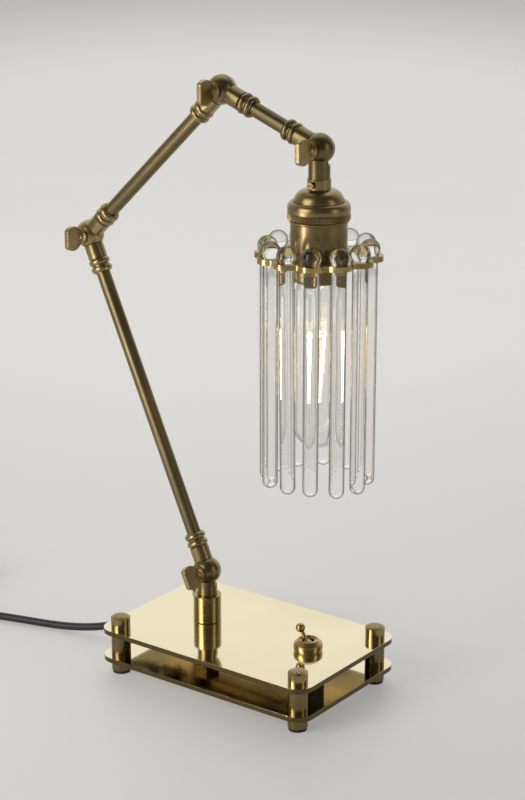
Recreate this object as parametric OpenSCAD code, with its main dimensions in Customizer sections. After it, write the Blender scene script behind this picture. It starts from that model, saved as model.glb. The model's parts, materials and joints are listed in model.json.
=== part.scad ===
// Articulated brass table lamp with a shade of hanging glass rods.
// Origin on the table under the middle of the base, +X towards the head, +Z up.
// The arms fold in the X-Z plane, about four knuckles whose axes lie along Y.

/* [Base] */
// Length of both base plates along X
plate_length = 156; // [140:1:190]
// Width of both base plates along Y
plate_width = 102; // [90:1:130]
// Thickness of each base plate
plate_thickness = 3; // [2:0.5:5]
// Distance from the plate edges to the post axes, which is also the corner radius
post_inset = 10.5; // [9:0.5:14]
// Diameter of the feet, spacers and caps
post_diameter = 12; // [10:0.5:16]
// Diameter of the studs that tie each post together
stud_diameter = 5; // [4:0.5:6]
// Height of the soft pads under the feet
pad_height = 2; // [1:0.5:4]
// Height of the feet under the lower plate
foot_height = 7; // [5:0.5:12]
// Height of the spacers between the plates
spacer_height = 15; // [13:0.5:24]
// Height of the straight part of the caps
cap_height = 6.4; // [5:0.2:10]
// Height of the shallow dome on each cap
cap_dome = 2; // [1:0.2:4]

/* [Column] */
// Position of the column axis along X
column_x = -31; // [-45:1:-15]
// Diameter of the column
column_diameter = 17.2; // [15:0.2:24]
// Height of the column on the upper plate
column_height = 17.3; // [12:0.1:30]
// Chamfer at the foot of the column
column_chamfer = 0.5; // [0.2:0.1:1]
// Height of the lowest pivot over the column
column_neck = 15.7; // [13:0.1:24]
// Outer diameter of the threaded nipples
nipple_diameter = 9.4; // [8.6:0.2:10]
// Bore of the threaded nipples
nipple_bore = 6; // [4:0.5:7]

/* [Switch] */
// Position of the switch axis along X
switch_x = 46; // [30:1:50]
// Diameter of the switch body under the upper plate
switch_diameter = 20; // [18:0.5:24]
// Height of the switch body
switch_height = 12.5; // [8:0.5:12.5]
// Outer diameter of the threaded switch bushing
bushing_diameter = 10.4; // [10:0.2:11]
// Bore of the bushing round the lever
bushing_bore = 7.8; // [7.4:0.2:8.4]
// Widest diameter of the rounded dress nut
dress_nut_diameter = 17.8; // [17:0.2:20]
// Diameter of the flat top of the dress nut, inside its sloping shoulder
dress_nut_flat = 12.6; // [12.2:0.2:14]
// Height of the dress nut
dress_nut_height = 7; // [6:0.2:8]
// Height at which the dress nut is widest
dress_nut_belly = 2.6; // [2:0.1:3.5]
// Radius of the curve up the dress nut's side
dress_nut_curve = 10; // [9:0.5:16]
// Length of the lever from its pivot to its ball
lever_length = 11.4; // [10:0.2:16]
// Lean of the lever from upright, either way
lever_lean = 30; // [15:1:30]
// Diameter of the ball on the lever
lever_ball = 5.8; // [4:0.2:8]

/* [Arms] */
// Pivot to pivot length of the lower arm
lower_length = 220; // [160:1:280]
// Direction of the lower arm, in degrees from +X towards +Z
lower_angle = 114; // [100:1:125]
// Pivot to pivot length of the upper arm
upper_length = 142.8; // [110:0.2:180]
// Direction of the upper arm, in degrees from +X towards +Z
upper_angle = 43.6; // [35:0.2:60]
// Pivot to pivot length of the short arm
short_length = 73.4; // [66:0.2:100]
// Direction of the short arm, in degrees from +X towards +Z
short_angle = -21.2; // [-30:0.1:0]
// Outer diameter of the arm tubes and of the knuckle necks
tube_diameter = 8.6; // [7.6:0.2:9.4]
// Wall of the arm tubes
tube_wall = 1; // [0.6:0.1:1.6]

/* [Knuckles] */
// Diameter of the ball formed by the two halves of a knuckle
ball_diameter = 17.5; // [16.5:0.5:20]
// Diameter of the thick stems on the column and on the head
stem_diameter = 12.4; // [11.4:0.2:13]
// Length of the neck of an arm half, from the pivot
neck_length = 16; // [14:0.5:18]
// Bore for the wires in each neck
wire_bore = 4.2; // [3:0.2:5]
// Distance from the pivot to the flat seat of the wing screw
seat_distance = 7.2; // [6.6:0.1:7.6]
// Diameter of the wing screw's shank
screw_diameter = 4; // [3:0.5:5]
// Reach of the shank past the pivot into the back half
screw_reach = 6; // [4:0.5:6.5]
// Widest diameter of the wing screw's collar
collar_diameter = 9; // [7:0.5:9.4]
// Thickness of the wing screw's collar
collar_height = 1.2; // [0.8:0.1:2]
// Height of the neck between the wing screw's collar and its wing
wing_neck = 2.4; // [1.4:0.2:4]
// Distance from the pivot to the flat end of the wing
wing_reach = 21.6; // [18:0.2:26]
// Radius of the wing's rounded outline
wing_radius = 7.5; // [6.5:0.1:9]
// Width of the flat end of the wing
wing_flat = 10.6; // [8:0.2:12]
// Thickness of the wing
wing_thickness = 3.2; // [2:0.2:4]

/* [Ferrules] */
// Outer diameter of a ferrule's plain sleeve
sleeve_diameter = 11.7; // [11.4:0.1:13]
// Length of the plain sleeve past the ball
sleeve_length = 6.4; // [5:0.2:10]
// Outer diameter of the two beads
bead_diameter = 13; // [12.6:0.2:15]
// Length of each bead
bead_length = 4.6; // [3.6:0.2:5.6]

/* [Socket] */
// Drop from the head pivot to the top of the socket cap
head_drop = 16.8; // [15:0.2:24]
// Diameter of the socket cap's collar
cap_collar_diameter = 13.6; // [12.6:0.2:15]
// Height of the socket cap's collar
cap_collar_height = 6.1; // [5:0.1:9]
// Diameter at the foot of the socket cap's dome
cap_dome_diameter = 28.6; // [26:0.2:31]
// Height of the socket cap's dome
cap_dome_height = 7.2; // [6:0.2:9]
// Diameter of the knurled band of the socket cap
band_diameter = 36.2; // [35.6:0.2:40]
// Height of the rounded shoulder over the knurled band
band_shoulder = 5.8; // [4:0.2:8]
// Height of the knurled band
band_height = 4.2; // [3:0.2:6]
// Outer diameter of the socket shell
shell_diameter = 32.6; // [32:0.2:34]
// Wall of the socket cap and shell
shell_wall = 0.8; // [0.6:0.1:1]
// Diameter of the set screw in the collar
set_screw_diameter = 3; // [2:0.5:4]

/* [Shade] */
// Drop from the top of the socket cap to the top of the crown plate
crown_drop = 42.9; // [38:0.1:50]
// Thickness of the crown plate
crown_thickness = 3.2; // [2:0.2:5]
// Number of glass rods
rod_count = 12; // [8:1:12]
// Radius of the circle that the rods hang on
rod_circle = 29.3; // [28.5:0.1:34]
// Turn of the first rod from +X
rod_phase = 177.6; // [0:0.1:360]
// Diameter of the glass rods
rod_diameter = 9; // [7:0.2:9.6]
// Diameter of the balls on top of the rods
rod_ball = 11.6; // [11:0.2:13]
// Length of the rods under the top of the crown plate
rod_length = 137.3; // [125:0.1:160]
// Radius of the crown plate's lobe round each rod
lobe_radius = 7.6; // [6.6:0.1:7.6]
// Radius of the hollow between two lobes
valley_radius = 3; // [2.6:0.1:4]
// Diameter of the ring that clamps the crown plate
ring_diameter = 37; // [36:0.5:42]
// Height of the ring under the crown plate
ring_height = 5; // [3:0.5:8]
// Reach of the socket shell under the top of the crown plate
nose_reach = 15.6; // [12:0.2:18]

/* [Bulb] */
// Diameter of the tubular bulb
bulb_diameter = 30; // [28:0.5:30.4]
// Distance from the top of the crown plate to the bulb's round end
bulb_reach = 115.6; // [90:0.2:124]
// Wall of the bulb's glass
glass_wall = 0.8; // [0.5:0.1:1.2]
// Diameter of the bulb's screw cap
bulb_cap_diameter = 26; // [24:0.2:26.2]
// Length of the filament cage
filament_length = 40; // [20:1:44]
// Height of the filament cage over the bulb's round end
filament_lift = 28; // [20:1:40]
// Radius of the filament cage at its top
cage_top = 4.6; // [3:0.1:6]
// Radius of the filament cage at its foot
cage_foot = 1.6; // [1.2:0.1:3]

/* [Cord] */
// Diameter of the mains cord
cord_diameter = 5; // [5:0.1:5]
// Distance from the -X edge of the lower plate to the middle of the cord clamp
clamp_inset = 16; // [14:0.5:24]
// Length of the plug's body
plug_length = 26; // [22:1:34]
// Width of the plug's body
plug_width = 22; // [20:0.5:24]

/* [Clearances] */
// Radial clearance of round pieces that stay put
fit = 0.1; // [0.05:0.05:0.15]
// Radial clearance of round pieces that turn
running = 0.05; // [0.02:0.01:0.1]
// Gap between pieces that move past each other
apart = 0.3; // [0.2:0.05:0.4]

/* [Hidden] */
$fn = 64;
brass = [0.66, 0.53, 0.27];
polished_brass = [0.86, 0.76, 0.50];
dark_rubber = [0.10, 0.10, 0.10];
black_plastic = [0.09, 0.09, 0.09];
steel = [0.70, 0.70, 0.70];
ceramic = [0.90, 0.88, 0.82];
clear_glass = [0.85, 0.92, 0.90, 0.4];
glow = [1.0, 0.72, 0.35];

// Heights of the base
foot_floor = 2;
lower_z = pad_height + foot_height;
lower_top = lower_z + plate_thickness;
upper_z = lower_top + spacer_height;
upper_top = upper_z + plate_thickness;
post_x = plate_length / 2 - post_inset;
post_y = plate_width / 2 - post_inset;
column_top = upper_top + column_height;

// Pivots of the four knuckles
function along(length, angle) = length * [cos(angle), 0, sin(angle)];
pivot_a = [column_x, 0, column_top + column_neck];
pivot_b = pivot_a + along(lower_length, lower_angle);
pivot_c = pivot_b + along(upper_length, upper_angle);
pivot_d = pivot_c + along(short_length, short_angle);
upward = 90;
downward = -90;

// Knuckles and ferrules
ball_radius = ball_diameter / 2;
clear_radius = ball_radius + apart;
ferrule_start = clear_radius + apart / 2;
ferrule_rim = sqrt(pow(clear_radius, 2) - pow(sleeve_diameter / 2, 2));
ferrule_length = sleeve_length + 2 * bead_length;
ferrule_bore = tube_diameter + 2 * fit;
groove_depth = 0.6;
tube_start = max(neck_length, ferrule_start + sleeve_length) + apart;
nipple_depth = 7;
nipple_hole = nipple_diameter + 2 * fit;
nut_height = 4;
nut_flats = 15;
nut_corners = nut_flats / cos(30);

// Switch
bushing_recess = 0.6;
bushing_top = dress_nut_height - bushing_recess;
lever_sink = 3.3;
lever_height = bushing_top - lever_sink;
lever_pivot = [switch_x, 0, upper_top + lever_height];
lever_knob = bushing_bore - 2 * apart - 0.2;
lever_pin = 1.6;
lever_root = 3;
lever_neck = 2.2;

// Head
head_x = pivot_d[0];
cap_top = pivot_d[2] - head_drop;
dome_z = -cap_collar_height - cap_dome_height;
band_z = dome_z - band_shoulder;
cap_foot = band_z - band_height;
shell_radius = shell_diameter / 2;
crown_top = cap_top - crown_drop;
crown_z = crown_top - crown_thickness;
nose_z = crown_top - nose_reach;
shell_overlap = 3.5;
shell_top = cap_top + cap_foot + shell_overlap;
flange_radius = shell_radius + 1.6;
flange_height = 1.2;
core_radius = shell_radius - shell_wall - fit;
core_z = crown_top + 2;
core_floor = 4;
contact_height = 1;
contact_diameter = 8;
thread_radius = bulb_cap_diameter / 2 + fit;
thread_wall = 0.5;
thread_top = shell_top - core_floor - fit;
cap_tip = thread_top - contact_height - fit;
set_screw_z = -cap_collar_height / 2;
set_screw_head = 2.6;
set_screw_flange = 4.2;

// Rods and crown
rod_step = 360 / rod_count;
rod_hole = rod_diameter + 3 * fit;
ball_lift = sqrt(pow(rod_ball / 2, 2) - pow(rod_hole / 2, 2)) + fit / 2;
lobe_to_valley = lobe_radius + valley_radius;
half_step_cos = rod_circle * cos(rod_step / 2);
valley_circle = half_step_cos
    + sqrt(pow(lobe_to_valley, 2) - pow(rod_circle * sin(rod_step / 2), 2));
tangent_share = lobe_radius / lobe_to_valley;
lobe_at = [rod_circle, 0];
valley_at = valley_circle * [cos(rod_step / 2), sin(rod_step / 2)];
crown_disc = norm(lobe_at + tangent_share * (valley_at - lobe_at));

// Bulb
bulb_radius = bulb_diameter / 2;
bulb_tip = crown_top - bulb_reach;
bulb_neck_radius = bulb_cap_diameter / 2 - 0.6 - fit;
bulb_shoulder_z = nose_z - 2;
bulb_shoulder = 9;
bulb_neck_top = nose_z + 6;
bulb_cap_foot = nose_z + 1;
bulb_cap_wall = 0.6;
tip_diameter = 9;
tip_height = 2;
stem_radius = 1.6;
stem_foot = 0.8;
spider_height = 0.8;
wire_radius = 0.3;
filament_low = bulb_tip + filament_lift;
filament_high = filament_low + filament_length;

// Cord route on the table, from the clamp to the coil
lead_z = lower_top + cord_diameter / 2 + fit;
tie_thickness = 1;
coil_z = tie_thickness + fit;
coil_centre = [-267, -10.1];
coil_turns_across = 5;
coil_layers = 2;
coil_inner = 17.5;
coil_outer = coil_inner + coil_turns_across * cord_diameter;
coil_height = coil_layers * cord_diameter;
table_z = cord_diameter / 2 + fit;
lead_start = -54;
lead_points = [
    [lead_start, 0, lead_z], [-62, 0, lead_z], [-70, 0, lead_z], [-80, 0, lead_z],
    [-89, -1, 13.4], [-98, -3.4, 11], [-108, -6.6, 7.8], [-120, -10.2, 5],
    [-133, -14, 3.3], [-147, -17.9, table_z], [-165, -22.9, table_z],
    [-183, -28, table_z], [-201, -33.1, table_z], [-219, -38.2, table_z],
    [-238, -43.6, 3], [-256.1, -48.6, coil_z + cord_diameter / 2]
];
tail_x = coil_centre[0] - coil_outer + cord_diameter / 2;
tail_y = coil_centre[1] + 22;
plug_z = 9;
tail_points = [
    [tail_x, coil_centre[1], coil_z + coil_height - cord_diameter / 2],
    [tail_x, coil_centre[1] + 11, plug_z - 0.2], [tail_x, tail_y, plug_z]
];
cord_sides = 10;
tie_width = 8;
tie_turn = 45;
relief_length = 20;
relief_diameter = 9;
plug_round = 5;
blade_length = 17.5;
blade_width = 6.3;
blade_thickness = 1.5;
blade_spacing = 12.7;
clamp_x = clamp_inset - plate_length / 2;
clamp_length = 10;
clamp_width = 22;
clamp_foot = 2;
clamp_wall = 1.6;
clamp_screw = 3;
clamp_screw_y = 7.5;
clamp_screw_head = 5.5;
clamp_screw_head_height = 2;
wire_diameter = 2;
wire_sides = 8;
wire_y = 6;
wire_bend = 8;
feed_points = [
    [lead_start + fit, 0.8, lead_z], [lead_start + 14, wire_y, lead_z + 2],
    [0, wire_y, lead_z + 2], [switch_x - switch_diameter / 2 - 4, wire_y / 2, lead_z + 2],
    [switch_x - switch_diameter / 2 - fit, 0, lead_z + 2]
];
arm_points = [
    [column_x, 0, upper_z - nut_height - apart], [column_x + 1, -2, lead_z + 4],
    [column_x + wire_bend, -wire_y, lead_z + 3], [0, -wire_y, lead_z + 2],
    [switch_x - switch_diameter / 2 - 4, -wire_y, lead_z + 2],
    [switch_x - switch_diameter / 2 + 1.2, -wire_y, lead_z + 2]
];

// Shared forms

module at_posts() {
    for (x = [-post_x, post_x], y = [-post_y, post_y])
        translate([x, y, 0]) children();
}

module plate_outline() {
    square([plate_length - 2 * post_inset, plate_width], center = true);
    square([plate_length, plate_width - 2 * post_inset], center = true);
    at_posts() circle(r = post_inset);
}

module tube(outer, inner, height) {
    difference() {
        cylinder(d = outer, h = height);
        translate([0, 0, -1]) cylinder(d = inner, h = height + 2);
    }
}

// Stands the children on a pivot, with their +Z along the given direction
module on_arm(pivot, angle) {
    translate(pivot) rotate([0, 90 - angle, 0]) children();
}

// Everything on one side of the knuckle's split plane, -1 for the front and 1 for the back
module half_space(side) {
    reach = 2 * ball_diameter;
    translate([0, side * (reach / 2 + apart / 2), 0]) cube(reach, center = true);
}

// One half of a ball knuckle with the neck or stem that carries it away along +Z
module knuckle_half(side, neck, length, bore, bore_depth) {
    difference() {
        union() {
            intersection() {
                union() {
                    sphere(d = ball_diameter);
                    cylinder(d = neck, h = clear_radius);
                }
                half_space(side);
                translate([0, ball_diameter - seat_distance, 0]) cube(2 * ball_diameter, center = true);
            }
            translate([0, 0, clear_radius]) cylinder(d = neck, h = length - clear_radius);
        }
        rotate([90, 0, 0]) translate([0, 0, -screw_reach - apart])
            cylinder(d = screw_diameter + 2 * running, h = ball_diameter + screw_reach);
        translate([0, 0, length - bore_depth]) cylinder(d = bore, h = bore_depth + 1);
    }
}

module arm_half(side) {
    knuckle_half(side, tube_diameter, neck_length, wire_bore, neck_length - ball_radius);
}

module stem_half(length) {
    knuckle_half(-1, stem_diameter, length, nipple_hole, nipple_depth + apart);
}

// Thumb screw that clamps a knuckle, along -Y, with its wing turned about that axis
module wing_screw(turn) {
    wing_centre = wing_reach - sqrt(pow(wing_radius, 2) - pow(wing_flat / 2, 2));
    collar_z = seat_distance + apart;
    wing_root = collar_z + collar_height;
    rotate([90, 0, 0]) rotate([0, 0, turn]) {
        translate([0, 0, -screw_reach])
            cylinder(d = screw_diameter, h = screw_reach + collar_z + collar_height / 2);
        translate([0, 0, collar_z]) cylinder(d = collar_diameter, h = collar_height);
        translate([0, 0, wing_root])
            cylinder(d1 = collar_diameter - 2 * collar_height, d2 = wing_thickness + 1, h = wing_neck);
        rotate([90, 0, 90]) linear_extrude(wing_thickness, center = true) intersection() {
            translate([0, wing_centre]) circle(r = wing_radius);
            translate([-wing_radius, wing_root]) square([2 * wing_radius, wing_reach - wing_root]);
        }
    }
}

// Turned sleeve with two beads that joins a knuckle's neck to a tube, hollowed at its end round the ball
module ferrule() {
    bead_round = bead_length / 2;
    sleeve_foot = ferrule_rim - ferrule_start;
    translate([0, 0, ferrule_start]) rotate_extrude() difference() {
        union() {
            translate([0, sleeve_foot]) square([sleeve_diameter / 2, sleeve_length - sleeve_foot]);
            square([sleeve_diameter / 2 - groove_depth, ferrule_length]);
            for (i = [0, 1]) translate([0, sleeve_length + i * bead_length]) {
                square([bead_diameter / 2 - bead_round, bead_length]);
                translate([bead_diameter / 2 - bead_round, bead_round]) circle(r = bead_round);
            }
        }
        translate([0, sleeve_foot - 1]) square([ferrule_bore / 2, ferrule_length - sleeve_foot + 2]);
        translate([0, -ferrule_start]) circle(r = clear_radius);
    }
}

module arm_tube(length) {
    translate([0, 0, tube_start])
        tube(tube_diameter, tube_diameter - 2 * tube_wall, length - 2 * tube_start);
}

// Sweep of a round section along a list of points that never run straight up
function unit(v) = v / norm(v);
function heading(points, i) =
    unit(points[min(i + 1, len(points) - 1)] - points[max(i - 1, 0)]);
function ring_at(points, i, radius, sides) =
    let (ahead = heading(points, i), side = unit(cross(ahead, [0, 1e-6, 1])), over = cross(side, ahead))
    [for (k = [0 : sides - 1]) let (turn = 360 * k / sides)
        points[i] + radius * (cos(turn) * side + sin(turn) * over)];

module sweep(points, diameter, sides) {
    rings = len(points);
    skin = [for (i = [0 : rings - 1]) each ring_at(points, i, diameter / 2, sides)];
    first = [for (k = [0 : sides - 1]) k];
    last = [for (k = [sides - 1 : -1 : 0]) (rings - 1) * sides + k];
    walls = [for (i = [0 : rings - 2], k = [0 : sides - 1])
        let (a = i * sides + k, b = i * sides + (k + 1) % sides)
        each [[a, a + sides, b + sides], [a, b + sides, b]]];
    polyhedron(points = skin, faces = concat([first], walls, [last]));
}

// Base

module foot_pads() {
    color(dark_rubber) at_posts() cylinder(d = post_diameter - 1, h = pad_height);
}

module feet() {
    color(polished_brass) at_posts() translate([0, 0, pad_height]) difference() {
        cylinder(d = post_diameter, h = foot_height);
        translate([0, 0, foot_floor]) cylinder(d = stud_diameter + 2 * fit, h = foot_height);
    }
}

module lower_plate() {
    color(polished_brass) translate([0, 0, lower_z]) linear_extrude(plate_thickness) difference() {
        plate_outline();
        at_posts() circle(d = stud_diameter + 2 * fit);
        for (y = [-clamp_screw_y, clamp_screw_y])
            translate([clamp_x, y]) circle(d = clamp_screw + 2 * fit);
    }
}

module spacers() {
    color(polished_brass) at_posts() translate([0, 0, lower_top])
        tube(post_diameter, stud_diameter + 2 * fit, spacer_height);
}

module upper_plate() {
    color(polished_brass) translate([0, 0, upper_z]) linear_extrude(plate_thickness) difference() {
        plate_outline();
        at_posts() circle(d = stud_diameter + 2 * fit);
        translate([column_x, 0]) circle(d = nipple_hole);
        translate([switch_x, 0]) circle(d = bushing_diameter + 2 * fit);
    }
}

module cap_nuts() {
    dome_radius = (pow(post_diameter / 2, 2) + pow(cap_dome, 2)) / (2 * cap_dome);
    color(polished_brass) at_posts() translate([0, 0, upper_top]) difference() {
        intersection() {
            cylinder(d = post_diameter, h = cap_height + cap_dome);
            translate([0, 0, cap_height + cap_dome - dome_radius]) sphere(r = dome_radius);
        }
        translate([0, 0, -1]) cylinder(d = stud_diameter + 2 * fit, h = cap_height);
    }
}

module tie_studs() {
    stud_foot = pad_height + foot_floor + apart;
    color(steel) at_posts() translate([0, 0, stud_foot])
        cylinder(d = stud_diameter, h = upper_top + cap_height - 1 - apart - stud_foot);
}

// Column

module column() {
    radius = column_diameter / 2;
    color(polished_brass) translate([column_x, 0, upper_top]) difference() {
        union() {
            cylinder(r1 = radius - column_chamfer, r2 = radius, h = column_chamfer);
            translate([0, 0, column_chamfer]) cylinder(r = radius, h = column_height - column_chamfer);
        }
        translate([0, 0, -1]) cylinder(d = nipple_hole, h = column_height + 2);
    }
}

module column_nipple() {
    nipple_foot = upper_z - nut_height;
    color(brass) translate([column_x, 0, nipple_foot])
        tube(nipple_diameter, nipple_bore, column_top + nipple_depth - nipple_foot);
}

module column_nut() {
    color(brass) translate([column_x, 0, upper_z - nut_height]) difference() {
        cylinder(d = nut_corners, h = nut_height, $fn = 6);
        translate([0, 0, -1]) cylinder(d = nipple_hole, h = nut_height + 2);
    }
}

// Switch

module switch_body() {
    color(black_plastic) translate([switch_x, 0, upper_z - switch_height])
        cylinder(d = switch_diameter, h = switch_height);
}

module switch_bushing() {
    color(brass) difference() {
        translate([switch_x, 0, upper_z]) cylinder(d = bushing_diameter, h = plate_thickness + bushing_top);
        translate(lever_pivot - [0, 0, lever_knob / 2 + apart]) cylinder(d = bushing_bore, h = upper_top);
        translate(lever_pivot) rotate([90, 0, 0])
            cylinder(d = lever_pin + 2 * running, h = bushing_diameter + 2, center = true);
    }
}

module switch_dress_nut() {
    nut_radius = dress_nut_diameter / 2;
    shoulder = nut_radius - dress_nut_flat / 2;
    color(polished_brass) translate([switch_x, 0, upper_top]) rotate_extrude() difference() {
        intersection() {
            translate([nut_radius - dress_nut_curve, dress_nut_belly]) circle(r = dress_nut_curve);
            polygon([
                [0, 0], [nut_radius + 1, 0], [nut_radius + 1, dress_nut_height - shoulder - 1],
                [dress_nut_flat / 2, dress_nut_height], [0, dress_nut_height]
            ]);
        }
        translate([0, -1]) square([bushing_diameter / 2 + fit, dress_nut_height + 2]);
    }
}

module switch_lever() {
    color(brass) translate(lever_pivot) {
        sphere(d = lever_knob);
        rotate([90, 0, 0]) cylinder(d = lever_pin, h = bushing_diameter - 1, center = true);
        rotate([0, -lever_lean, 0]) {
            cylinder(d1 = lever_root, d2 = lever_neck, h = lever_length);
            translate([0, 0, lever_length]) sphere(d = lever_ball);
        }
    }
}

// Cord, its clamp and its plug

module cord_clamp() {
    bore = cord_diameter + 2 * fit;
    saddle = bore + 2 * clamp_wall;
    rise = lead_z - lower_top;
    color(brass) translate([clamp_x, 0, lower_top]) difference() {
        rotate([90, 0, 90]) linear_extrude(clamp_length, center = true) difference() {
            union() {
                translate([-clamp_width / 2, 0]) square([clamp_width, clamp_foot]);
                translate([-saddle / 2, 0]) square([saddle, rise]);
                translate([0, rise]) circle(d = saddle);
            }
            translate([0, rise]) circle(d = bore);
            translate([-saddle / 2, -saddle]) square([saddle, saddle]);
            translate([-cord_diameter / 4, -1]) square([cord_diameter / 2, rise]);
        }
        for (y = [-clamp_screw_y, clamp_screw_y])
            translate([0, y, -1]) cylinder(d = clamp_screw + 2 * fit, h = clamp_foot + 2);
    }
}

module clamp_screws() {
    color(steel) for (y = [-clamp_screw_y, clamp_screw_y]) translate([clamp_x, y, 0]) {
        translate([0, 0, lower_z]) cylinder(d = clamp_screw, h = plate_thickness + clamp_foot + 1);
        translate([0, 0, lower_top + clamp_foot])
            cylinder(d = clamp_screw_head, h = clamp_screw_head_height);
    }
}

module feed_wire() {
    color(dark_rubber) sweep(feed_points, wire_diameter, wire_sides);
}

module arm_wire() {
    color(dark_rubber) sweep(arm_points, wire_diameter, wire_sides);
}

module cord_lead() {
    color(dark_rubber) sweep(lead_points, cord_diameter, cord_sides);
}

module cord_coil() {
    color(dark_rubber) translate([coil_centre[0], coil_centre[1], coil_z]) rotate_extrude()
        translate([coil_inner, 0]) square([coil_outer - coil_inner, coil_height]);
}

module cord_tail() {
    color(dark_rubber) sweep(tail_points, cord_diameter, cord_sides);
}

module cord_tie() {
    inside = sqrt(pow(coil_inner, 2) - pow(tie_width / 2, 2)) - fit;
    outside = coil_outer + fit;
    color(dark_rubber) translate([coil_centre[0], coil_centre[1], 0]) rotate([0, 0, tie_turn]) difference() {
        translate([inside - tie_thickness, -tie_width / 2, 0])
            cube([outside - inside + 2 * tie_thickness, tie_width, coil_height + 2 * coil_z]);
        translate([inside, -tie_width, tie_thickness])
            cube([outside - inside, 2 * tie_width, coil_height + 2 * fit]);
    }
}

module plug_body() {
    color(black_plastic) translate([tail_x, tail_y, plug_z]) rotate([-90, 0, 0]) {
        cylinder(d1 = cord_diameter + 1.5, d2 = relief_diameter, h = relief_length);
        translate([0, 0, relief_length]) hull()
            for (x = [-1, 1], y = [-1, 1])
                translate([x * (plug_width / 2 - plug_round), y * (plug_z - plug_round), 0])
                    cylinder(r = plug_round, h = plug_length, $fn = 32);
    }
}

module plug_blades() {
    blade_y = tail_y + relief_length + plug_length + blade_length / 2;
    color(steel) for (x = [-1, 1]) translate([tail_x + x * blade_spacing / 2, blade_y, plug_z])
        cube([blade_thickness, blade_length, blade_width], center = true);
}

// Lower knuckle and lower arm

module knuckle_a_front() {
    color(brass) on_arm(pivot_a, downward) mirror([1, 0, 0]) stem_half(column_neck);
}

module knuckle_a_back() {
    color(brass) on_arm(pivot_a, lower_angle) arm_half(1);
}

module wing_screw_a() {
    color(brass) translate(pivot_a) wing_screw(lower_angle - upward);
}

module ferrule_lower_a() {
    color(brass) on_arm(pivot_a, lower_angle) ferrule();
}

module tube_lower() {
    color(brass) on_arm(pivot_a, lower_angle) arm_tube(lower_length);
}

module ferrule_lower_b() {
    color(brass) on_arm(pivot_b, lower_angle + 180) ferrule();
}

module knuckle_b_back() {
    color(brass) on_arm(pivot_b, lower_angle + 180) arm_half(1);
}

// Upper arm

module knuckle_b_front() {
    color(brass) on_arm(pivot_b, upper_angle) arm_half(-1);
}

module wing_screw_b() {
    color(brass) translate(pivot_b) wing_screw(0);
}

module ferrule_upper_b() {
    color(brass) on_arm(pivot_b, upper_angle) ferrule();
}

module tube_upper() {
    color(brass) on_arm(pivot_b, upper_angle) arm_tube(upper_length);
}

module ferrule_upper_c() {
    color(brass) on_arm(pivot_c, upper_angle + 180) ferrule();
}

module knuckle_c_back() {
    color(brass) on_arm(pivot_c, upper_angle + 180) arm_half(1);
}

// Short arm

module knuckle_c_front() {
    color(brass) on_arm(pivot_c, short_angle) arm_half(-1);
}

module wing_screw_c() {
    color(brass) translate(pivot_c) wing_screw(0);
}

module ferrule_short_c() {
    color(brass) on_arm(pivot_c, short_angle) ferrule();
}

module tube_short() {
    color(brass) on_arm(pivot_c, short_angle) arm_tube(short_length);
}

module ferrule_short_d() {
    color(brass) on_arm(pivot_d, short_angle + 180) ferrule();
}

module knuckle_d_back() {
    color(brass) on_arm(pivot_d, short_angle + 180) arm_half(1);
}

// Head

module knuckle_d_front() {
    color(brass) on_arm(pivot_d, downward) stem_half(head_drop);
}

module wing_screw_d() {
    color(brass) translate(pivot_d) wing_screw(0);
}

module socket_nipple() {
    color(brass) translate([head_x, 0, cap_top - cap_collar_height])
        tube(nipple_diameter, nipple_bore, cap_collar_height + nipple_depth);
}

// Half section of a revolved cover that is rounded over from its full radius
module quarter_cover(radius, corner) {
    square([radius - corner, corner]);
    translate([radius - corner, 0]) intersection() {
        circle(r = corner);
        square(corner);
    }
}

// The same over a straight wall of the given height
module rounded_cover(radius, height, corner) {
    square([radius, height - corner]);
    translate([0, height - corner]) quarter_cover(radius, corner);
}

module socket_cap() {
    dome_radius = cap_dome_diameter / 2;
    band_radius = band_diameter / 2;
    band_round = 4;
    color(brass) translate([head_x, 0, cap_top]) difference() {
        rotate_extrude() difference() {
            union() {
                translate([0, -cap_collar_height]) square([cap_collar_diameter / 2, cap_collar_height]);
                translate([0, dome_z]) quarter_cover(dome_radius, cap_dome_height);
                translate([0, cap_foot]) rounded_cover(band_radius, band_shoulder + band_height, band_round);
            }
            translate([0, dome_z]) quarter_cover(dome_radius - shell_wall, cap_dome_height - shell_wall);
            translate([0, cap_foot - 1]) square([shell_radius + fit, band_height + 1 + band_round / 2]);
            translate([0, -cap_collar_height - 2]) square([nipple_hole / 2, cap_collar_height + 3]);
        }
        translate([0, 0, set_screw_z]) rotate([90, 0, 0])
            cylinder(d = set_screw_diameter + 2 * fit, h = cap_collar_diameter);
    }
}

module set_screw() {
    tip = nipple_diameter / 2 + fit;
    color(brass) translate([head_x, 0, cap_top + set_screw_z]) rotate([90, 0, 0]) {
        translate([0, 0, tip]) cylinder(d = set_screw_diameter, h = cap_collar_diameter / 2 - tip + 1);
        translate([0, 0, cap_collar_diameter / 2]) difference() {
            cylinder(d = set_screw_flange, h = set_screw_head);
            translate([0, 0, set_screw_head]) cube([2 * set_screw_flange, 0.8, 1.6], center = true);
        }
    }
}

module socket_shell() {
    lip = 1.6;
    color(brass) translate([head_x, 0, nose_z]) rotate_extrude() {
        difference() {
            union() {
                translate([0, lip]) square([shell_radius, shell_top - nose_z - lip]);
                square([shell_radius - lip, lip]);
                translate([shell_radius - lip, lip]) circle(r = lip);
                translate([0, nose_reach]) square([flange_radius, flange_height]);
            }
            translate([0, -1]) square([shell_radius - shell_wall, shell_top - nose_z + 2]);
        }
    }
}

module socket_core() {
    bore = thread_radius + thread_wall + fit;
    color(ceramic) translate([head_x, 0, core_z]) difference() {
        cylinder(r = core_radius, h = shell_top - core_z);
        translate([0, 0, -1]) cylinder(r = bore, h = thread_top + fit - core_z + 1);
        cylinder(d = clamp_screw, h = shell_top);
    }
}

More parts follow.
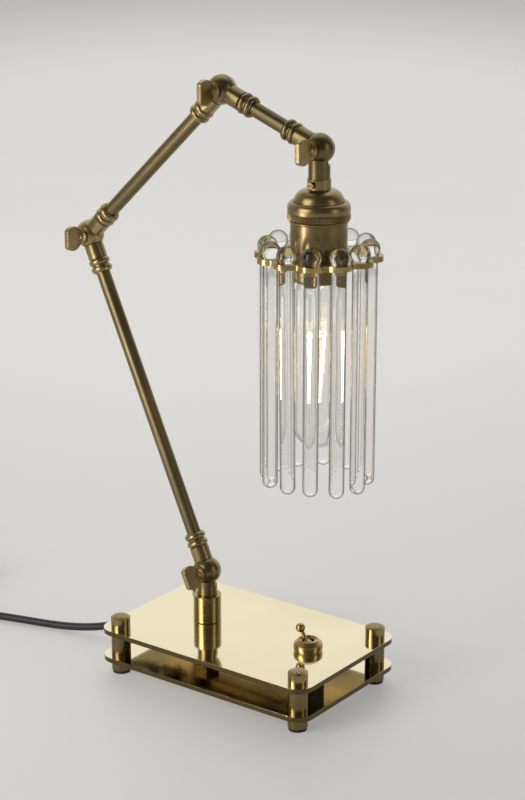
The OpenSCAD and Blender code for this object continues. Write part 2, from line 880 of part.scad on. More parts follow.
module screw_shell() {
    thread_foot = bulb_cap_foot + 2;
    color(brass) translate([head_x, 0, thread_foot]) difference() {
        cylinder(r = thread_radius + thread_wall, h = thread_top - thread_foot);
        translate([0, 0, -1]) cylinder(r = thread_radius, h = thread_top - thread_foot + 1 - thread_wall);
        cylinder(d = contact_diameter + 4, h = thread_top);
    }
}

module centre_contact() {
    color(brass) translate([head_x, 0, thread_top + fit - contact_height])
        cylinder(d = contact_diameter, h = contact_height);
}

module crown_outline() {
    difference() {
        union() {
            circle(r = crown_disc);
            at_rods() circle(r = lobe_radius);
        }
        rotate(rod_step / 2) at_rods(valley_circle) circle(r = valley_radius);
    }
}

module at_rods(radius = rod_circle) {
    for (i = [0 : rod_count - 1])
        rotate(rod_phase + i * rod_step) translate([radius, 0]) children();
}

module crown_plate() {
    color(brass) translate([head_x, 0, crown_z]) linear_extrude(crown_thickness) difference() {
        crown_outline();
        at_rods() circle(d = rod_hole);
        circle(r = shell_radius + fit);
    }
}

module crown_ring() {
    ring_round = 1.5;
    color(brass) translate([head_x, 0, crown_z]) rotate_extrude() mirror([0, 1]) difference() {
        rounded_cover(ring_diameter / 2, ring_height, ring_round);
        translate([0, -1]) square([shell_radius + fit, ring_height + 2]);
    }
}

module glass_rods() {
    rod_radius = rod_diameter / 2;
    color(clear_glass) translate([head_x, 0, crown_top]) at_rods() {
        translate([0, 0, rod_radius - rod_length]) {
            sphere(r = rod_radius);
            cylinder(r = rod_radius, h = rod_length - rod_radius + ball_lift);
        }
        translate([0, 0, ball_lift]) sphere(d = rod_ball);
    }
}

// Bulb

module bulb_cap() {
    radius = bulb_cap_diameter / 2;
    color(brass) translate([head_x, 0, bulb_cap_foot]) rotate_extrude() difference() {
        union() {
            square([radius, cap_tip - bulb_cap_foot - tip_height]);
            square([tip_diameter / 2, cap_tip - bulb_cap_foot]);
        }
        translate([0, -1]) square([radius - bulb_cap_wall, cap_tip - bulb_cap_foot - tip_height]);
    }
}

// Section of the tubular bulb, taken in by the given amount for its inside
module bulb_section(inset) {
    end_z = bulb_tip + bulb_radius;
    wide = bulb_radius - inset;
    narrow = bulb_neck_radius - inset;
    intersection() {
        translate([0, end_z]) circle(r = wide);
        translate([0, bulb_tip]) square([bulb_radius, bulb_radius]);
    }
    polygon([[0, end_z], [wide, end_z], [wide, bulb_shoulder_z - bulb_shoulder],
        [narrow, bulb_shoulder_z], [narrow, bulb_neck_top], [0, bulb_neck_top]]);
}

module bulb_glass() {
    color(clear_glass) translate([head_x, 0, 0]) rotate_extrude() difference() {
        bulb_section(0);
        bulb_section(glass_wall);
    }
}

module bulb_stem() {
    flare = bulb_neck_radius - glass_wall - fit;
    color(clear_glass) translate([head_x, 0, 0]) {
        translate([0, 0, filament_low - spider_height])
            cylinder(r1 = stem_foot, r2 = stem_radius, h = filament_length / 2);
        translate([0, 0, filament_low - spider_height + filament_length / 2])
            cylinder(r = stem_radius, h = bulb_neck_top - filament_low + spider_height - filament_length / 2);
        translate([0, 0, bulb_neck_top - 4]) cylinder(r1 = stem_radius, r2 = flare, h = 4);
        translate([0, 0, filament_high - spider_height / 2])
            cylinder(r = cage_top - wire_radius - 2 * fit, h = spider_height);
    }
}

module filament() {
    strands = 6;
    ring_radius = wire_radius + fit;
    lean = atan((cage_top - cage_foot) / filament_length);
    color(glow) translate([head_x, 0, 0]) {
        translate([0, 0, filament_low]) rotate_extrude() translate([cage_foot, 0]) circle(r = ring_radius);
        translate([0, 0, filament_high]) rotate_extrude() translate([cage_top, 0]) circle(r = ring_radius);
        for (i = [0 : strands - 1]) rotate(i * 360 / strands)
            translate([cage_foot, 0, filament_low]) rotate([0, lean, 0])
                cylinder(r = wire_radius, h = filament_length / cos(lean));
    }
}

foot_pads();
feet();
lower_plate();
spacers();
upper_plate();
cap_nuts();
tie_studs();
column();
column_nipple();
column_nut();
switch_body();
switch_bushing();
switch_dress_nut();
switch_lever();
cord_clamp();
clamp_screws();
feed_wire();
arm_wire();
cord_lead();
cord_coil();
cord_tail();
cord_tie();
plug_body();
plug_blades();
knuckle_a_front();
knuckle_a_back();
wing_screw_a();
ferrule_lower_a();
tube_lower();
ferrule_lower_b();
knuckle_b_back();
knuckle_b_front();
wing_screw_b();
ferrule_upper_b();
tube_upper();
ferrule_upper_c();
knuckle_c_back();
knuckle_c_front();
wing_screw_c();
ferrule_short_c();
tube_short();
ferrule_short_d();
knuckle_d_back();
knuckle_d_front();
wing_screw_d();
socket_nipple();
socket_cap();
set_screw();
socket_shell();
socket_core();
screw_shell();
centre_contact();
crown_plate();
crown_ring();
glass_rods();
bulb_cap();
bulb_glass();
bulb_stem();
filament();
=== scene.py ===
# The lamp's solids come in as a fixed frame, in metres, standing as in the photograph.
import json
import math
import bmesh
import bpy
from mathutils import Matrix, Vector


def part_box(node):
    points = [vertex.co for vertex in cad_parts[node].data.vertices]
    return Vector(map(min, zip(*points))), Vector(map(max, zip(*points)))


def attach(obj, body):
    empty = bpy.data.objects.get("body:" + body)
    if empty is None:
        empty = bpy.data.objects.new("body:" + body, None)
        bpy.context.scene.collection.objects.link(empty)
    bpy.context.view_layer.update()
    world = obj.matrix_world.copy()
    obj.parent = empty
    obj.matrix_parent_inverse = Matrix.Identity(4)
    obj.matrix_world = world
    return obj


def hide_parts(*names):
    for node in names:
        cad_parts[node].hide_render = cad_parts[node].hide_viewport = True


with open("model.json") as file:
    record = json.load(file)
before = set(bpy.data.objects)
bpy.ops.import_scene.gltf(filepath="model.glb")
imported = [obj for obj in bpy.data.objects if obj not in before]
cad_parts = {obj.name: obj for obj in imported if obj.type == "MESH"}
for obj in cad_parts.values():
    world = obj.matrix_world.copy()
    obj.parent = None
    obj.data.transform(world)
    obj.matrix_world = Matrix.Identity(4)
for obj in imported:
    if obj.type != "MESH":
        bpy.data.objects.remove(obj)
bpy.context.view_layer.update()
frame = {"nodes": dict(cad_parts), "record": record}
scene = bpy.context.scene
scene.view_settings.view_transform = "Standard"

# Camera: a long lens over a metre away, above the lamp and in front of its switch end,
# so that the base shows its top and its two nearer sides.
lens = bpy.data.cameras.new("camera")
lens.lens = 92.07
lens.sensor_width = 36
camera = bpy.data.objects.new("camera", lens)
camera.location = (0.699, -0.926, 0.544)
camera_dip, camera_heading = 17.45, 36.58
camera.rotation_euler = (math.radians(90 - camera_dip), 0, math.radians(camera_heading))
scene.collection.objects.link(camera)
scene.camera = camera

# Table top: one plain pale sheet that runs out of sight on every side.
# It is nearly matt, with only a soft sheen under the feet; a painted pool of light, seen only in view and
# in reflections, makes it paler behind the lamp.
def new_finish(name):
    finish = bpy.data.materials.new(name)
    finish.use_nodes = True
    return finish, finish.node_tree, finish.node_tree.nodes["Principled BSDF"]


def add(tree, kind, **values):
    node = tree.nodes.new(kind)
    for key, value in values.items():
        setattr(node, key, value)
    return node


def set_inputs(node, **values):
    for key, value in values.items():
        node.inputs[key.replace("_", " ")].default_value = value


def speckle(tree, scale, detail, dark, pale):
    where = add(tree, "ShaderNodeTexCoord")
    grain = add(tree, "ShaderNodeTexNoise")
    set_inputs(grain, Scale=scale, Detail=detail)
    shade = add(tree, "ShaderNodeValToRGB")
    shade.color_ramp.elements[0].color = (*dark, 1)
    shade.color_ramp.elements[1].color = (*pale, 1)
    tree.links.new(where.outputs["Object"], grain.inputs["Vector"])
    tree.links.new(grain.outputs["Fac"], shade.inputs["Fac"])
    return grain.outputs["Fac"], shade.outputs["Color"]


table_finish, tree, skin = new_finish("pale_table")
table_finish.cycles.emission_sampling = "NONE"
_, mottle = speckle(tree, scale=6.0, detail=4.0, dark=(0.47, 0.465, 0.452), pale=(0.51, 0.505, 0.492))
where = add(tree, "ShaderNodeTexCoord")
# The emission below is a painted pool of light: paler in an oval behind the lamp, darker further off.
painted_light_pool = add(tree, "ShaderNodeMapping", vector_type="TEXTURE")
painted_light_pool.inputs["Location"].default_value = (-1.01, 1.37, 0)
painted_light_pool.inputs["Rotation"].default_value = (0, 0, math.radians(36.6))
painted_light_pool.inputs["Scale"].default_value = (1.6, 2.7, 1)
falloff = add(tree, "ShaderNodeTexGradient", gradient_type="SPHERICAL")
lit = add(tree, "ShaderNodeValToRGB")
lit.color_ramp.elements[0].position = 0.20
lit.color_ramp.elements[0].color = (0.20, 0.198, 0.193, 1)
lit.color_ramp.elements[1].position = 0.62
lit.color_ramp.elements[1].color = (0.41, 0.406, 0.395, 1)
seen = add(tree, "ShaderNodeLightPath")
seen_or_mirrored = add(tree, "ShaderNodeMath", operation="MAXIMUM")
seen_at_all = add(tree, "ShaderNodeMath", operation="MAXIMUM")
tree.links.new(mottle, skin.inputs["Base Color"])
tree.links.new(where.outputs["Object"], painted_light_pool.inputs["Vector"])
tree.links.new(painted_light_pool.outputs["Vector"], falloff.inputs["Vector"])
tree.links.new(falloff.outputs["Fac"], lit.inputs["Fac"])
tree.links.new(lit.outputs["Color"], skin.inputs["Emission Color"])
tree.links.new(seen.outputs["Is Camera Ray"], seen_or_mirrored.inputs[0])
tree.links.new(seen.outputs["Is Glossy Ray"], seen_or_mirrored.inputs[1])
tree.links.new(seen_or_mirrored.outputs["Value"], seen_at_all.inputs[0])
tree.links.new(seen.outputs["Is Transmission Ray"], seen_at_all.inputs[1])
tree.links.new(seen_at_all.outputs["Value"], skin.inputs["Emission Strength"])
set_inputs(skin, Roughness=0.5)
table_shape = bpy.data.meshes.new("table_top")
sheet = bmesh.new()
bmesh.ops.create_circle(sheet, cap_ends=True, segments=96, radius=14)
sheet.to_mesh(table_shape)
sheet.free()
table_shape.materials.append(table_finish)
table_top = bpy.data.objects.new("table_top", table_shape)
scene.collection.objects.link(table_top)

# Studio: a bright wall of light behind the lamp and a darker room in front of it, with a broad
# soft box to the left, weaker ones to the right and above, and a small low card for the shell.
world = bpy.data.worlds.new("studio")
scene.world = world
world.use_nodes = True
tree = world.node_tree
room = tree.nodes["Background"]
where = add(tree, "ShaderNodeTexCoord")
facing = add(tree, "ShaderNodeVectorMath", operation="DOT_PRODUCT")
facing.inputs[1].default_value = (-0.58, 0.78, 0.24)
wall = add(tree, "ShaderNodeValToRGB")
wall.color_ramp.elements[0].position = 0.58
wall.color_ramp.elements[0].color = (0.09, 0.087, 0.081, 1)
wall.color_ramp.elements[1].position = 0.92
wall.color_ramp.elements[1].color = (0.95, 0.94, 0.91, 1)
spread = add(tree, "ShaderNodeMapRange")
set_inputs(spread, From_Min=-1.0, From_Max=1.0)
tree.links.new(where.outputs["Generated"], facing.inputs[0])
tree.links.new(facing.outputs["Value"], spread.inputs["Value"])
tree.links.new(spread.outputs["Result"], wall.inputs["Fac"])
distance = add(tree, "ShaderNodeMix", data_type="RGBA")
distance.inputs["B"].default_value = (0.33, 0.326, 0.317, 1)
seen = add(tree, "ShaderNodeLightPath")
tree.links.new(seen.outputs["Is Camera Ray"], distance.inputs["Factor"])
tree.links.new(wall.outputs["Color"], distance.inputs["A"])
tree.links.new(distance.outputs["Result"], room.inputs["Color"])
set_inputs(room, Strength=1.0)


def soft_box(name, place, aim, width, height, watts, colour):
    lamp = bpy.data.lights.new(name, "AREA")
    lamp.shape = "RECTANGLE"
    lamp.size, lamp.size_y = width, height
    lamp.energy = watts
    lamp.color = colour
    box = bpy.data.objects.new(name, lamp)
    box.location = place
    box.rotation_euler = (Vector(aim) - Vector(place)).to_track_quat("-Z", "Y").to_euler()
    box.visible_camera = False
    scene.collection.objects.link(box)


soft_box("left_box", place=(-0.48, -1.26, 0.72), aim=(0, 0, 0.2),
         width=0.85, height=1.1, watts=10, colour=(1, 0.97, 0.92))
soft_box("right_box", place=(1.35, 0.15, 0.6), aim=(0, 0, 0.2),
         width=0.4, height=0.9, watts=1.4, colour=(1, 0.98, 0.95))
soft_box("top_box", place=(-0.45, 0.6, 1.7), aim=(-0.3, 0.4, 0),
         width=1.4, height=1.2, watts=2.2, colour=(1, 0.99, 0.97))
soft_box("low_card", place=(-0.112, -0.323, 0.196), aim=(0.048, 0, 0.28),
         width=0.08, height=0.10, watts=0.24, colour=(1, 0.97, 0.92))

# Foot pads: thin dark rubber discs, stuck under the turned feet.
# They are the only faces of the base that touch the table.
nodes = frame["nodes"]


def rubber(name, scale, detail, dark, pale, bump, distance, roughness):
    finish, tree, skin = new_finish(name)
    grain, tone = speckle(tree, scale, detail, dark, pale)
    lift = add(tree, "ShaderNodeBump")
    set_inputs(lift, Strength=bump, Distance=distance)
    tree.links.new(tone, skin.inputs["Base Color"])
    tree.links.new(grain, lift.inputs["Height"])
    tree.links.new(lift.outputs["Normal"], skin.inputs["Normal"])
    set_inputs(skin, Roughness=roughness)
    return finish


def dress(finish, *names):
    for name in names:
        for slot in nodes[name].material_slots:
            slot.material = finish


pad_rubber = rubber("pad_rubber", scale=900.0, detail=3.0, dark=(0.012, 0.012, 0.012),
                    pale=(0.035, 0.034, 0.033), bump=0.3, distance=0.0002, roughness=0.7)
dress(pad_rubber, "foot_pads")

# Feet, spacers and caps: turned brass posts, polished on the lathe, so that fine rings
# stay in the surface. Studs inside them clamp the two plates together.
brass_tone = bpy.data.node_groups.new("Brass tone", "ShaderNodeTree")
for name, kind in (("Clean", "Color"), ("Tarnish", "Color"), ("Spread", "Float"), ("Amount", "Float"),
                   ("Polish", "Float"), ("Haze", "Float")):
    brass_tone.interface.new_socket(name, in_out="INPUT", socket_type="NodeSocket" + kind)
brass_tone.interface.new_socket("Color", in_out="OUTPUT", socket_type="NodeSocketColor")
brass_tone.interface.new_socket("Roughness", in_out="OUTPUT", socket_type="NodeSocketFloat")
given = add(brass_tone, "NodeGroupInput")
result = add(brass_tone, "NodeGroupOutput")
where = add(brass_tone, "ShaderNodeTexCoord")
cloud = add(brass_tone, "ShaderNodeTexNoise")
set_inputs(cloud, Detail=2.5, Roughness=0.5)
bank = add(brass_tone, "ShaderNodeMapRange", interpolation_type="SMOOTHSTEP")
set_inputs(bank, From_Min=0.36, From_Max=0.68)
share = add(brass_tone, "ShaderNodeMath", operation="MULTIPLY")
blend = add(brass_tone, "ShaderNodeMix", data_type="RGBA")
finer = add(brass_tone, "ShaderNodeMath", operation="MULTIPLY")
finer.inputs[1].default_value = 9.0
smear = add(brass_tone, "ShaderNodeTexNoise")
set_inputs(smear, Detail=2.0, Roughness=0.5)
gloss = add(brass_tone, "ShaderNodeMapRange")
set_inputs(gloss, From_Min=0.3, From_Max=0.7)
brass_tone.links.new(where.outputs["Object"], cloud.inputs["Vector"])
brass_tone.links.new(given.outputs["Spread"], cloud.inputs["Scale"])
brass_tone.links.new(cloud.outputs["Fac"], bank.inputs["Value"])
brass_tone.links.new(bank.outputs["Result"], share.inputs[0])
brass_tone.links.new(given.outputs["Amount"], share.inputs[1])
brass_tone.links.new(share.outputs["Value"], blend.inputs["Factor"])
brass_tone.links.new(given.outputs["Clean"], blend.inputs["A"])
brass_tone.links.new(given.outputs["Tarnish"], blend.inputs["B"])
brass_tone.links.new(given.outputs["Spread"], finer.inputs[0])
brass_tone.links.new(where.outputs["Object"], smear.inputs["Vector"])
brass_tone.links.new(finer.outputs["Value"], smear.inputs["Scale"])
brass_tone.links.new(smear.outputs["Fac"], gloss.inputs["Value"])
brass_tone.links.new(given.outputs["Polish"], gloss.inputs["To Min"])
brass_tone.links.new(given.outputs["Haze"], gloss.inputs["To Max"])
brass_tone.links.new(blend.outputs["Result"], result.inputs["Color"])
brass_tone.links.new(gloss.outputs["Result"], result.inputs["Roughness"])

tool_marks = bpy.data.node_groups.new("Tool marks", "ShaderNodeTree")
tool_marks.interface.new_socket("Along", in_out="INPUT", socket_type="NodeSocketVector")
tool_marks.interface.new_socket("Lines", in_out="INPUT", socket_type="NodeSocketFloat")
tool_marks.interface.new_socket("Height", in_out="OUTPUT", socket_type="NodeSocketFloat")
given = add(tool_marks, "NodeGroupInput")
result = add(tool_marks, "NodeGroupOutput")
rings = add(tool_marks, "ShaderNodeTexWave", bands_direction="Z")
set_inputs(rings, Distortion=1.5, Detail=2.0, Detail_Scale=0.4)
tool_marks.links.new(given.outputs["Along"], rings.inputs["Vector"])
tool_marks.links.new(given.outputs["Lines"], rings.inputs["Scale"])
tool_marks.links.new(rings.outputs["Fac"], result.inputs["Height"])

soft_edge = bpy.data.node_groups.new("Softened edges", "ShaderNodeTree")
soft_edge.interface.new_socket("Radius", in_out="INPUT", socket_type="NodeSocketFloat")
soft_edge.interface.new_socket("Normal", in_out="OUTPUT", socket_type="NodeSocketVector")
given = add(soft_edge, "NodeGroupInput")
result = add(soft_edge, "NodeGroupOutput")
round_over = add(soft_edge, "ShaderNodeBevel", samples=4)
soft_edge.links.new(given.outputs["Radius"], round_over.inputs["Radius"])
soft_edge.links.new(round_over.outputs["Normal"], result.inputs["Normal"])


def brass(name, clean, tarnish, spread, polish, haze, lines, amount=0.5, lean=0, depth=0.002, edge=0):
    finish, tree, skin = new_finish(name)
    tone = add(tree, "ShaderNodeGroup", node_tree=brass_tone)
    set_inputs(tone, Clean=(*clean, 1), Tarnish=(*tarnish, 1), Spread=spread, Amount=amount,
               Polish=polish, Haze=haze)
    where = add(tree, "ShaderNodeTexCoord")
    turn = add(tree, "ShaderNodeMapping")
    turn.inputs["Rotation"].default_value = (0, math.radians(lean), 0)
    marks = add(tree, "ShaderNodeGroup", node_tree=tool_marks)
    set_inputs(marks, Lines=lines)
    lift = add(tree, "ShaderNodeBump")
    set_inputs(lift, Strength=depth, Distance=0.0001)
    if edge:
        edges = add(tree, "ShaderNodeGroup", node_tree=soft_edge)
        set_inputs(edges, Radius=edge)
        tree.links.new(edges.outputs["Normal"], lift.inputs["Normal"])
    tree.links.new(where.outputs["Object"], turn.inputs["Vector"])
    tree.links.new(turn.outputs["Vector"], marks.inputs["Along"])
    tree.links.new(marks.outputs["Height"], lift.inputs["Height"])
    tree.links.new(lift.outputs["Normal"], skin.inputs["Normal"])
    tree.links.new(tone.outputs["Color"], skin.inputs["Base Color"])
    tree.links.new(tone.outputs["Roughness"], skin.inputs["Roughness"])
    set_inputs(skin, Metallic=1.0)
    return finish


# The feet and spacers are painted darker and the cap nuts lighter than one brass would be: painted shade on
# the posts and a painted highlight on the caps.
painted_shade_post_brass = brass("painted_shade_post_brass", (0.20, 0.147, 0.066), (0.13, 0.094, 0.040),
                   spread=60, polish=0.25, haze=0.31, lines=900)
dress(painted_shade_post_brass, "feet", "spacers")
painted_light_cap_brass = brass("painted_light_cap_brass", (0.33, 0.245, 0.112), (0.23, 0.166, 0.070),
                  spread=60, polish=0.22, haze=0.28, lines=900)
dress(painted_light_cap_brass, "cap_nuts")
stud_steel = brass("stud_steel", (0.55, 0.55, 0.55), (0.40, 0.39, 0.38),
                   spread=90, polish=0.25, haze=0.38, lines=700, amount=0.6, depth=0.02)
dress(stud_steel, "tie_studs", "clamp_screws", "plug_blades")

# Base plates: thick sheet brass, cut with round corners. The upper faces are polished to a
# mirror with a faint buffing haze; the edges are painted near black as shade, and the undersides are duller
# and darker.
plate_brass = brass("plate_brass", (0.88, 0.80, 0.57), (0.80, 0.69, 0.44),
                    spread=14, polish=0.05, haze=0.09, lines=40, edge=0.0006)
tree = plate_brass.node_tree
skin = tree.nodes["Principled BSDF"]
facing = add(tree, "ShaderNodeNewGeometry")
upright = add(tree, "ShaderNodeSeparateXYZ")
below_top_share = add(tree, "ShaderNodeMapRange", interpolation_type="SMOOTHSTEP")
set_inputs(below_top_share, From_Min=0.55, From_Max=0.9, To_Min=1.0, To_Max=0.0)
edge_tone = add(tree, "ShaderNodeMix", data_type="RGBA")
edge_gloss = add(tree, "ShaderNodeMix")
underside_tone = add(tree, "ShaderNodeGroup", node_tree=brass_tone)
set_inputs(underside_tone, Clean=(0.44, 0.34, 0.165, 1), Tarnish=(0.16, 0.115, 0.05, 1), Spread=26, Amount=0.8,
           Polish=0.12, Haze=0.20)
upside_down = add(tree, "ShaderNodeMapRange", interpolation_type="SMOOTHSTEP")
set_inputs(upside_down, From_Min=-0.9, From_Max=-0.5, To_Min=1.0, To_Max=0.0)
# Side faces take a near-black colour as painted shade; faces turned down take the duller underside tone.
painted_side_shade = add(tree, "ShaderNodeMix", data_type="RGBA")
painted_side_shade.inputs["A"].default_value = (0.12, 0.086, 0.038, 1)
polished = skin.inputs["Base Color"].links[0].from_socket
buffed = skin.inputs["Roughness"].links[0].from_socket
tree.links.new(facing.outputs["True Normal"], upright.inputs["Vector"])
tree.links.new(upright.outputs["Z"], below_top_share.inputs["Value"])
tree.links.new(below_top_share.outputs["Result"], edge_tone.inputs["Factor"])
tree.links.new(below_top_share.outputs["Result"], edge_gloss.inputs["Factor"])
tree.links.new(polished, edge_tone.inputs["A"])
tree.links.new(buffed, edge_gloss.inputs["A"])
tree.links.new(upright.outputs["Z"], upside_down.inputs["Value"])
tree.links.new(upside_down.outputs["Result"], painted_side_shade.inputs["Factor"])
tree.links.new(underside_tone.outputs["Color"], painted_side_shade.inputs["B"])
tree.links.new(painted_side_shade.outputs["Result"], edge_tone.inputs["B"])
tree.links.new(underside_tone.outputs["Roughness"], edge_gloss.inputs["B"])
tree.links.new(edge_tone.outputs["Result"], skin.inputs["Base Color"])
tree.links.new(edge_gloss.outputs["Result"], skin.inputs["Roughness"])
dress(plate_brass, "lower_plate", "upper_plate")

# Column: a short turned post that stands on the upper plate, screwed down from below
# by a threaded nipple and a lock nut. The leads run up through it.
column_brass = brass("column_brass", (0.39, 0.295, 0.14), (0.27, 0.20, 0.09),
                     spread=45, polish=0.25, haze=0.31, lines=700)
dress(column_brass, "column", "column_nipple", "column_nut", "cord_clamp")

# Switch: a toggle under the upper plate. Its bushing comes up through the plate and is
# held by a rounded dress nut; the ball-ended lever flips towards the arm or away.
switch_brass = brass("switch_brass", (0.50, 0.375, 0.165), (0.33, 0.24, 0.10),
                     spread=120, polish=0.24, haze=0.32, lines=900, amount=0.6)
dress(switch_brass, "switch_bushing", "switch_dress_nut", "switch_lever")
phenolic, tree, skin = new_finish("phenolic")
flecks, tone = speckle(tree, scale=500.0, detail=5.0, dark=(0.010, 0.009, 0.008),
                       pale=(0.040, 0.034, 0.030))
sheen = add(tree, "ShaderNodeMapRange")
set_inputs(sheen, To_Min=0.30, To_Max=0.50)
tree.links.new(tone, skin.inputs["Base Color"])
tree.links.new(flecks, sheen.inputs["Value"])
tree.links.new(sheen.outputs["Result"], skin.inputs["Roughness"])
dress(phenolic, "switch_body")

# Knuckles, ferrules and tubes: satin brass. Each arm has its own finish, whose turning lines run round that
# arm, and whose colour is scaled as painted light and shade: lighter on the upper arm, darker on the short
# arm and on all the tubes.
def with_painted_light(colour, share):
    return tuple(value * share for value in colour)


for arm, ends, lean, turned_painted_light, tube_painted_light, knuckles in (
        ("lower", "ab", 24, 1.0, 0.83, ("knuckle_a_back", "knuckle_b_back")),
        ("upper", "bc", -46.4, 1.12, 0.73, ("knuckle_b_front", "knuckle_c_back")),
        ("short", "cd", -111.2, 0.68, 0.53, ("knuckle_c_front", "knuckle_d_back"))):
    turned = brass(arm + "_turned_brass",
                   with_painted_light((0.38, 0.285, 0.14), turned_painted_light), with_painted_light((0.27, 0.20, 0.09), turned_painted_light),
                   spread=55, polish=0.29, haze=0.35, lines=700, lean=lean)
    drawn = brass(arm + "_tube_brass",
                  with_painted_light((0.30, 0.23, 0.115), tube_painted_light), with_painted_light((0.22, 0.165, 0.08), tube_painted_light),
                  spread=40, polish=0.36, haze=0.42, lines=250, lean=lean)
    dress(turned, *knuckles, *("ferrule_%s_%s" % (arm, end) for end in ends))
    dress(drawn, "tube_" + arm)
# Knuckle A's front, the socket nipple and, darker still, knuckle D's front are painted darker than the
# arms' brass: painted shade.
painted_shade_stem_brass = brass("painted_shade_stem_brass", (0.26, 0.195, 0.095), (0.18, 0.135, 0.06),
                   spread=55, polish=0.29, haze=0.35, lines=700)
dress(painted_shade_stem_brass, "knuckle_a_front", "socket_nipple")
deep_painted_shade_stem_brass = brass("deep_painted_shade_stem_brass", (0.20, 0.15, 0.073), (0.14, 0.105, 0.047),
                        spread=55, polish=0.29, haze=0.35, lines=700)
dress(deep_painted_shade_stem_brass, "knuckle_d_front")

# Wing screws: cast brass thumb turns that clamp the knuckles. A soft paddle grows out of
# a cone collar; a plain shank goes through both half balls.
wing_brass = brass("wing_brass", (0.45, 0.335, 0.155), (0.32, 0.23, 0.10),
                   spread=110, polish=0.30, haze=0.38, lines=300)


def turn_skin(mesh, profile, sides, at=(0, 0, 0)):
    x, y, z = at
    rings = []
    for radius, height in profile:
        turns = [2 * math.pi * k / sides for k in range(sides)] if radius else [0]
        rings.append([mesh.verts.new((x + radius * math.cos(a), y + radius * math.sin(a), z + height))
                      for a in turns])
    for low, high in zip(rings, rings[1:]):
        for k in range(sides):
            corners = [low[k % len(low)], low[(k + 1) % len(low)]]
            corners += [high[(k + 1) % len(high)], high[k % len(high)]]
            corners = list(dict.fromkeys(corners))
            if len(corners) > 2:
                mesh.faces.new(corners)


def shape_of(mesh, name):
    bmesh.ops.remove_doubles(mesh, verts=mesh.verts, dist=0.000001)
    shape = bpy.data.meshes.new(name)
    mesh.to_mesh(shape)
    mesh.free()
    return shape


def new_piece(name, shape, finish, body, stands_for):
    for polygon in shape.polygons:
        polygon.use_smooth = True
    shape.set_sharp_from_angle(angle=math.radians(38))
    shape.materials.append(finish)
    piece = bpy.data.objects.new(name, shape)
    scene.collection.objects.link(piece)
    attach(piece, body)
    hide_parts(stands_for)
    return piece


pivots = {joint["name"]: Vector(joint["pos_m"]) for joint in frame["record"]["behaviour"]["joints"]}
seat, shank_radius, shank_end, collar_radius = 0.0075, 0.002, -0.006, 0.0045
wing_reach, wing_radius, wing_thickness, wing_flat = 0.0216, 0.0075, 0.0032, 0.0106
wing_middle = wing_reach - math.sqrt(wing_radius ** 2 - (wing_flat / 2) ** 2)
edge_rounding, edge_angle, screw_sides = 0.0005, 0.9, 32
for end, turn in (("a", 24), ("b", 0), ("c", 0), ("d", 0)):
    wing = bmesh.new()
    outline = []
    for degrees in range(4, 360, 8):
        angle = math.radians(degrees)
        height = wing_middle - wing_radius * math.cos(angle)
        outline.append((wing_radius * math.sin(angle), min(height, wing_reach)))
    rim = [wing.verts.new((-wing_thickness / 2, y, z)) for y, z in outline]
    pulled = bmesh.ops.extrude_face_region(wing, geom=[wing.faces.new(rim)])
    far_rim = [v for v in pulled["geom"] if isinstance(v, bmesh.types.BMVert)]
    bmesh.ops.translate(wing, vec=(wing_thickness, 0, 0), verts=far_rim)
    bmesh.ops.recalc_face_normals(wing, faces=wing.faces)
    corners = [e for e in wing.edges if e.calc_face_angle(0) > edge_angle]
    bmesh.ops.bevel(wing, geom=corners, offset=edge_rounding, segments=3, profile=0.6, affect="EDGES")
    turn_skin(wing, ((0, shank_end), (shank_radius - 0.0003, shank_end), (shank_radius, shank_end + 0.0003),
                     (shank_radius, seat), (collar_radius - 0.0002, seat), (collar_radius, seat + 0.0002),
                     (collar_radius, seat + 0.0010), (collar_radius - 0.0002, seat + 0.0012),
                     (0.0033, seat + 0.0013), (0.0027, seat + 0.0018), (0.0023, seat + 0.0034),
                     (0, seat + 0.0042)), screw_sides)
    shape = shape_of(wing, "thumb_turn_" + end)
    shape.transform(Matrix.Translation(pivots["knuckle_" + end]) @ Matrix.Rotation(math.radians(90), 4, "X")
                    @ Matrix.Rotation(math.radians(turn), 4, "Z"))
    new_piece("thumb_turn_" + end, shape, wing_brass, "wing_" + end, "wing_screw_" + end)

# Lampholder: a spun brass cap with a domed top and a knurled band, over a plain drawn
# shell. A slotted set screw in the collar locks it on its nipple.
spun_brass = brass("spun_brass", (0.34, 0.255, 0.12), (0.24, 0.175, 0.08),
                   spread=60, polish=0.28, haze=0.34, lines=800)
dress(spun_brass, "screw_shell", "centre_contact", "bulb_cap")
# The drawn shell is painted darker than the spun brass it matches: painted shade.
painted_shade_shell_brass = brass("painted_shade_shell_brass", (0.25, 0.187, 0.088), (0.17, 0.124, 0.056),
                    spread=60, polish=0.26, haze=0.32, lines=800)
dress(painted_shade_shell_brass, "socket_shell")
dress(painted_shade_post_brass, "set_screw")
cap_low, cap_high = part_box("socket_cap")
head_x = (cap_low.x + cap_high.x) / 2
cap = bmesh.new()
outside = [(0.0164, -0.0233), (0.0168, -0.0248), (0.0171, -0.0243), (0.0171, -0.0237),
           (0.0175, -0.0232)]
band_radius, knurl_rows, knurl_low, knurl_high = 0.0178, 20, -0.0230, -0.0192
cap_sides, knurl_teeth, knurl_pitch, knurl_depth, knurl_flat = 608, 76, 0.0019, 0.0010, 0.65
groove_painted_shade, land_painted_highlight = 0.15, 2.10
knurl_step = (knurl_high - knurl_low) / knurl_rows
outside += [(band_radius, knurl_low + knurl_step * row) for row in range(knurl_rows + 1)]
outside += [(0.0176, -0.0190), (0.0176, -0.0187), (0.0179, -0.0184), (0.0180, -0.0172),
            (0.0179, -0.0158), (0.0175, -0.0146), (0.0168, -0.0136), (0.0160, -0.0131),
            (0.0152, -0.0131), (0.0147, -0.0135), (0.0143, -0.0138)]
dome_middle, dome_drop, dome_radius = 0.0071, -0.0133, 0.0072
